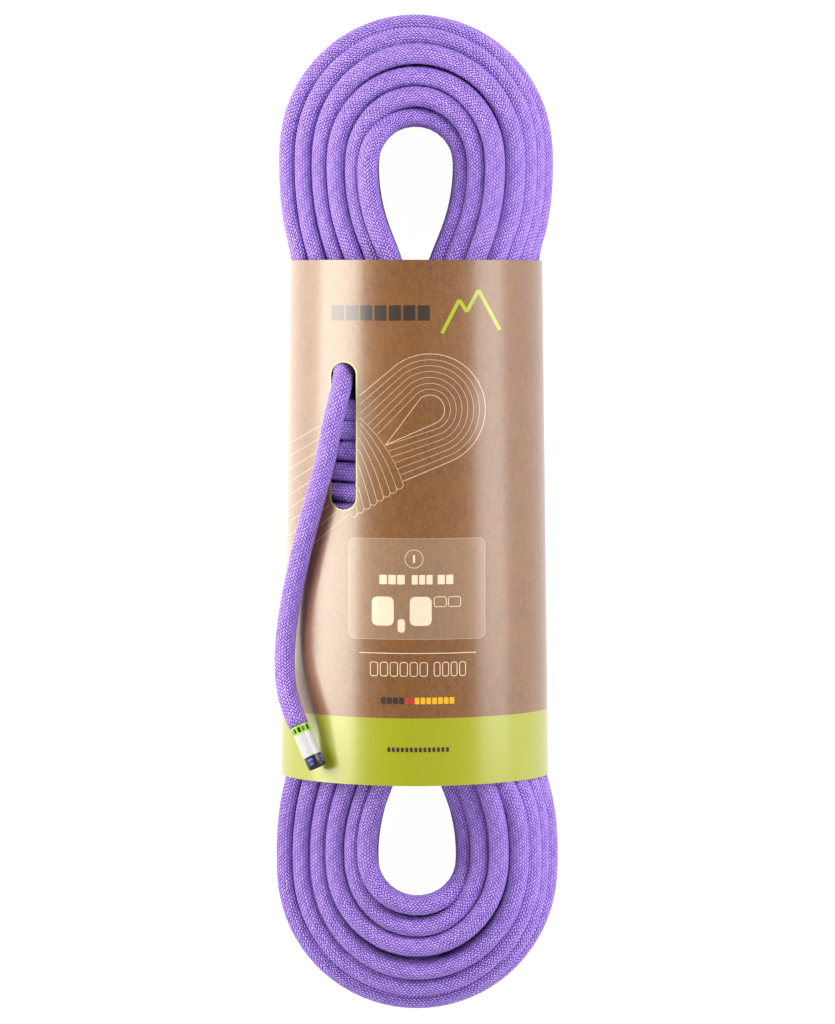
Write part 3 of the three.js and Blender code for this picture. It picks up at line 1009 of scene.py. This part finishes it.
camera_data = bpy.data.cameras.new("camera")
camera_data.lens = LENS
camera_data.sensor_width = 36
camera_data.clip_end = 50
camera = bpy.data.objects.new("camera", camera_data)
scene.collection.objects.link(camera)
camera.matrix_world = Matrix.Translation(EYE) @ look(EYE, AIM, Vector((0, 1, 0)))
scene.camera = camera


def add_area_light(name, place, aim, size, watts, up, colour):
    """A soft rectangle of light, seen only in what it lights and in reflections."""
    data = bpy.data.lights.new(name, "AREA")
    data.shape = "RECTANGLE"
    data.size, data.size_y = size
    data.energy = watts
    data.color = colour
    light = bpy.data.objects.new(name, data)
    scene.collection.objects.link(light)
    place, aim = Vector(place), Vector(aim)
    light.matrix_world = Matrix.Translation(place) @ look(place, aim, Vector(up))
    light.visible_camera = False


scene.view_settings.view_transform = "Standard"
# Boxes at the sides make the card's highlights, with one lying on the floor at the left. The
# others fill from the head and the foot.
WARM = (1.0, 0.98, 0.88)
WHITE = (1, 1, 1)
UP = (0, 0, 1)
LIGHTS = (  # name, place, aim, size, watts, up and colour
    ("left_box", (-0.62, 0.12, 0.23), (0, 0.12, 0.10), (0.6, 0.44), 8.0, UP, WARM),
    ("left_table", (-0.36, 0.12, 0.004), (-0.36, 0.12, 1), (0.6, 0.4), 1.0, (0, 1, 0), WARM),
    ("right_box", (1.0, 0.25, 0.33), (0, 0.25, 0.08), (0.9, 0.5), 7.3, UP, WHITE),
    ("head_box", (0.7, 1.4, 1.3), (0, 0, 0.05), (1.6, 1.0), 43, UP, WHITE),
    ("foot_box", (0.5, -1.6, 1.2), (0, 0, 0.05), (1.4, 1.0), 29, UP, WHITE),
)
for light in LIGHTS:
    add_area_light(*light)

world = bpy.data.worlds.new("studio")
world.use_nodes = True
background = world.node_tree.nodes["Background"]
background.inputs["Color"].default_value = (1.0, 1.0, 1.0, 1.0)
background.inputs["Strength"].default_value = 0.22
scene.world = world


def build_floor():
    """A pale floor that gives off a little light, so that it shows as white."""
    half = 3000
    corners = [(-half, -half, 0), (half, -half, 0), (half, half, 0), (-half, half, 0)]
    floor = new_object("floor", corners, [(0, 1, 2, 3)])
    floor.location.z = -0.0002
    g = Graph("floor")
    tone = g.noise(g.object_place(), 3.0, 2.0, 0.5)
    g.set(
        Base_Color=g.mix(tone, rgb(98, 98, 98), rgb(104, 104, 104)),
        Roughness=g.math("MULTIPLY_ADD", tone, 0.1, 0.8),
        Emission_Color=rgb(255, 255, 255),
        Emission_Strength=0.98,
    )
    floor.data.materials.append(g.material)


build_floor()

# ----- The rope -----

# The braid's colours: a painted highlight for the yarns' crowns, their own violet, and painted shade
# for the gaps between them.
braid = braid_material("violet_braid_painted_light", rgb(198, 160, 250), rgb(132, 90, 216), rgb(50, 24, 104))
HANK_SIDES = 12
WINDING_SIDES = 16
END_SIDES = 24
LABEL_GRIP = 19.7  # length of rope inside a label


def add_cord(name, route, sides, label_start=None):
    """A length of rope in its braid, and its centre line."""
    piece, path = rope_tube(name, route, sides, label_start)
    piece.data.materials.append(braid)
    return piece, path


hank_outer, outer_path = add_cord("rope_hank_outer", outer_route, HANK_SIDES)
hank_inner, inner_path = add_cord("rope_hank_inner", inner_route, HANK_SIDES)
label_from = ROPE_LENGTHS["winding"] - LABEL_GRIP
windings, winding_path = add_cord("rope_windings", winding_route, WINDING_SIDES, label_from)
label_from = ROPE_LENGTHS["loose"] - LABEL_GRIP
loose, loose_path = add_cord("rope_loose_end", loose_route, END_SIDES, label_from)

LABEL_PROFILE = [
    (3.95, 0.0),
    (4.22, 0.0),
    (4.34, 0.12),
    (4.36, 0.4),
    (4.33, 4.0),
    (4.35, 9.0),
    (4.32, 14.0),
    (4.35, 18.0),
    (4.34, 20.7),
    (4.25, 21.1),
    (4.1, LABEL_LENGTH),
    (3.95, LABEL_LENGTH),
    (3.93, 12.0),
]
MELT_PROFILE = [(0.02, 20.0), (3.5, 20.0), (3.45, 20.4), (2.9, 20.75), (1.6, 20.6), (0.02, 20.9)]


def dress(piece, material):
    """Gives a piece this material only."""
    piece.data.materials.clear()
    piece.data.materials.append(material)


def add_end(prefix, start, tip, body):
    """The label and the melted tip of one end of the rope."""
    label = turned(f"{prefix}_label_film", LABEL_PROFILE, 64, start, tip)
    label.data.materials.append(label_material(f"{prefix}_label"))
    melt = turned(f"{prefix}_melt", MELT_PROFILE, 40, start, tip)
    violet = rgb(52, 38, 92), rgb(88, 66, 140)
    dress(melt, plain_material(f"{prefix}_melt", *violet, 900.0, 0.35, 0.0002))
    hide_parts(f"{prefix}_label")
    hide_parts(f"{prefix}_melted_tip")
    for piece in (label, melt):
        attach(piece, body)
    return label, melt


loose_pieces = add_end("loose_end", LOOSE_END[-1], LOOSE_TIP, "tail")
inner_pieces = add_end("inner_end", INNER_LABEL_START, INNER_TIP, "root")

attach(hank_outer, "root")
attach(hank_inner, "root")
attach(windings, "root")
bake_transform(loose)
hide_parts("hank")
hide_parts("waist_windings", "inner_end_sheath")
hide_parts("loose_end_root", "loose_end_sheath")


core_yarn = plain_material("core_yarn", rgb(226, 224, 214), rgb(246, 245, 240), 1200.0, 0.6, 0.0001)
for node_name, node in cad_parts.items():
    if "core_strand" in node_name:
        dress(node, core_yarn)

# ----- The sleeve and its print -----

card = build_card()
card.data.materials.append(card_print_material())
card.data.materials.append(card_core_material())
cut_slot(card)
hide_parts("card_sleeve")
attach(card, "sleeve")

dried_glue = plain_material("glue", rgb(222, 210, 176), rgb(240, 232, 206), 300.0, 0.4, 0.0001)
dress(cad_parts["glue_strip"], dried_glue)

INK_LIFT = 0.07  # of the print over the card


def near_slot(x, y, margin=1.1):
    """Whether a place is in the slot or in the line round it."""
    top, bottom = SLOT_TOP - SLOT_HALF, SLOT_BOTTOM + SLOT_HALF
    return math.hypot(x - SLOT_X, y - min(max(y, bottom), top)) < SLOT_HALF + margin


def on_card(x, y):
    return abs(x) < 59.5 and SLEEVE_BOTTOM < y < SLEEVE_TOP and not near_slot(x, y)


class Print:
    """Strokes and blocks of one ink, laid on the card's front."""

    def __init__(self):
        self.vertices = []
        self.faces = []

    def quad(self, corners):
        first = len(self.vertices)
        for x, y in corners:
            self.vertices.append((x, y, surface_height(x, y) + INK_LIFT))
        self.faces.append(tuple(range(first, first + 4)))

    def stroke(self, points, width):
        for (ax, ay), (bx, by) in zip(points, points[1:]):
            length = math.hypot(bx - ax, by - ay)
            if length < 1e-6 or not (on_card(ax, ay) and on_card(bx, by)):
                continue
            nx, ny = -(by - ay) / length * width / 2, (bx - ax) / length * width / 2
            self.quad([(ax - nx, ay - ny), (bx - nx, by - ny), (bx + nx, by + ny), (ax + nx, ay + ny)])

    def block(self, x0, x1, y0, y1, corner=0.4):
        """A filled block with rounded corners."""
        corner = min(corner, (x1 - x0) / 2, (y1 - y0) / 2)
        rounding = [corner * (1 - math.cos(a)) for a in np.linspace(0, math.pi / 2, 5)]
        inner = list(np.linspace(x0 + corner, x1 - corner, max(2, int((x1 - x0) / 1.5)) + 1))
        xs = [x0 + r for r in rounding[:-1]] + inner + [x1 - r for r in reversed(rounding[:-1])]

        def inset(x):
            into = max(corner - (x - x0), corner - (x1 - x), 0.0)
            return corner - math.sqrt(max(corner**2 - into**2, 0.0))

        for left, right in zip(xs, xs[1:]):
            a, b = inset(left), inset(right)
            self.quad([(left, y0 + a), (right, y0 + b), (right, y1 - b), (left, y1 - a)])

    def word(self, x0, x1, y0, y1, count, gap, outline=0.0):
        """A word's worth of plain blocks, filled or as thin outlines."""
        width = (x1 - x0 - gap * (count - 1)) / count
        for number in range(count):
            left = x0 + number * (width + gap)
            if outline:
                box = rounded_box(left, left + width, y0, y1, min(1.0, width / 3))
                self.stroke(box, outline)
            else:
                self.block(left, left + width, y0, y1)

    def build(self, name, material):
        piece = new_object(name, self.vertices, self.faces)
        piece.data.materials.append(material)
        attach(piece, "sleeve")


def rounded_box(x0, x1, y0, y1, radius, count=6):
    """The outline of a box with round corners."""
    points = []
    corners = ((x1, y1, 0), (x0, y1, 90), (x0, y0, 180), (x1, y0, 270))
    for x, y, start in corners:
        cx = x - radius if x == x1 else x + radius
        cy = y - radius if y == y1 else y + radius
        for i in range(count + 1):
            angle = math.radians(start + 90 * i / count)
            points.append((cx + radius * math.cos(angle), cy + radius * math.sin(angle)))
    points.append(points[0])
    return points


def densify(points, step=1.5):
    """The line with more points on its straight stretches, so that it follows the card."""
    out = [points[0]]
    for (ax, ay), (bx, by) in zip(points, points[1:]):
        count = max(1, int(math.hypot(bx - ax, by - ay) / step))
        out += [(ax + (bx - ax) * i / count, ay + (by - ay) * i / count) for i in range(1, count + 1)]
    return out


DRAWING_CENTRE = np.array([6.9, 52.8])
DRAWING_TURN = math.radians(212)  # the way the drawn hank's body runs from its loops
DRAWN_LOOPS = 8
DRAWN_BANDS = 9
FINE = 0.15
BOLD = 0.24


def drawn(along, side):
    """A place in the drawing: along the drawn hank from its loops' centre, and across it."""
    axis = np.array([math.cos(DRAWING_TURN), math.sin(DRAWING_TURN)])
    across = np.array([-axis[1], axis[0]])
    return tuple(DRAWING_CENTRE + axis * along + across * side)


def band_place(number, side):
    """How far along a winding of the drawing lies, at this distance across."""
    spread = max((side + 22) / 44.5, 0) ** 0.7
    bow = 3.0 * ((side - 6) / 20) ** 2
    return 26.7 + bow * (1 - number / DRAWN_BANDS) + number * (1.2 + 2.6 * spread)


def hank_drawing(ink):
    """A line drawing of a wound hank of rope that runs off the card's left edge."""
    for number in range(DRAWN_LOOPS):
        share = number / (DRAWN_LOOPS - 1)
        radius = 6.8 + 19.0 * share
        turn = 0.12 + 0.06 * share
        angles = np.linspace(-math.pi / 2 - turn, math.pi / 2 + turn, 48)
        bend = [drawn(-radius * math.cos(a), radius * math.sin(a)) for a in angles]
        neck = 21.5 * share
        if number == 0:
            ends = [drawn(26.0, 3.0)] * 2
        else:
            ends = [drawn(band_place(0, side) - 0.4, side) for side in (-neck, neck)]
        path = densify([ends[0]] + bend + [ends[1]])
        ink.stroke(path, BOLD if number in (0, DRAWN_LOOPS - 1) else FINE)
    for number in range(DRAWN_BANDS):
        sides = np.linspace(-22.0, 22.5, 40)
        ink.stroke([drawn(band_place(number, t), t) for t in sides], FINE)
        if number + 1 < DRAWN_BANDS:
            here, there = (band_place(n, 22.5) for n in (number, number + 1))
            middle, reach = (here + there) / 2, (there - here) / 2
            scallop = [
                drawn(middle - reach * math.cos(a), 22.5 + 0.8 * reach * math.sin(a))
                for a in np.linspace(0, math.pi, 12)
            ]
            ink.stroke(scallop, FINE * 1.3)
    for number in range(10):
        side = -20.0 + 4.6 * number
        start = band_place(DRAWN_BANDS - 1, side) + 0.6
        fan = [drawn(start + t, side + 0.0045 * (side + 14) * t) for t in np.linspace(0, 46, 32)]
        ink.stroke(fan, FINE)


# Bottom and top of the rows of print.
NAME_ROW = (93.9, 101.0)
TITLE_ROW = (-28.1, -23.7)
FIGURE_ROW = (-47.3, -33.8)
UNIT_ROW = (-38.5, -33.9)
LINE_ROW = (-70.7, -64.3)
SMALL_ROW = (-83.7, -80.6)
FOOT_ROW = (-106.0, -103.8)
RING_CENTRE = (-0.4, -16.3)
RING_RADIUS = 4.2
THIN = 0.35
INK_COLOURS = {
    "cream": (214, 192, 168),
    "dark": (44, 28, 18),
    "lime": (148, 158, 0),
    "red": (176, 40, 34),
    "gold": (212, 156, 14),
}


def add_print():
    """Everything printed on the card, in five inks. Plain blocks stand for letters and figures."""
    inks = {name: Print() for name in INK_COLOURS}
    cream, dark, lime, red, gold = inks.values()
    dark.word(-38.8, 6.9, *NAME_ROW, 7, 1.1)
    ridge = [(12.5, 88), (20.5, 103.5), (24, 98), (29.5, 108), (39.5, 89.5)]
    lime.stroke(densify(ridge), 1.7)
    hank_drawing(cream)
    x, y = RING_CENTRE
    angles = np.linspace(0, 2 * math.pi, 48)
    ring = [(x + RING_RADIUS * math.cos(a), y + RING_RADIUS * math.sin(a)) for a in angles]
    cream.stroke(ring, 0.28)
    cream.block(-0.9, 0.1, -18.2, -14.4)
    for left, right, count in ((-16.5, -4.7, 3), (-1.5, 8.2, 3), (10.5, 17.8, 2)):
        cream.word(left, right, *TITLE_ROW, count, 0.6)
    cream.block(-20.0, -9.8, *FIGURE_ROW, 2.6)
    cream.block(-8.0, -4.6, -50.4, -44.2, 1.4)
    cream.block(-2.4, 7.8, *FIGURE_ROW, 2.6)
    cream.word(8.9, 21.2, *UNIT_ROW, 2, 1.0, outline=THIN)
    cream.stroke(densify([(-25.9, -60.1), (28.5, -60.1)]), THIN)
    cream.word(-20.7, 5.8, *LINE_ROW, 6, 1.2, outline=THIN)
    cream.word(8.9, 23.5, *LINE_ROW, 4, 1.2, outline=THIN)
    dark.word(-15.9, -5.0, *SMALL_ROW, 4, 0.5)
    red.word(-4.6, -0.6, *SMALL_ROW, 2, 0.5)
    gold.word(-0.1, 18.3, *SMALL_ROW, 7, 0.5)
    dark.word(-12.8, 15.8, *FOOT_ROW, 14, 0.7)
    for name, ink in inks.items():
        ink.build(f"print_{name}", ink_material(f"{name}_ink", rgb(*INK_COLOURS[name])))


add_print()
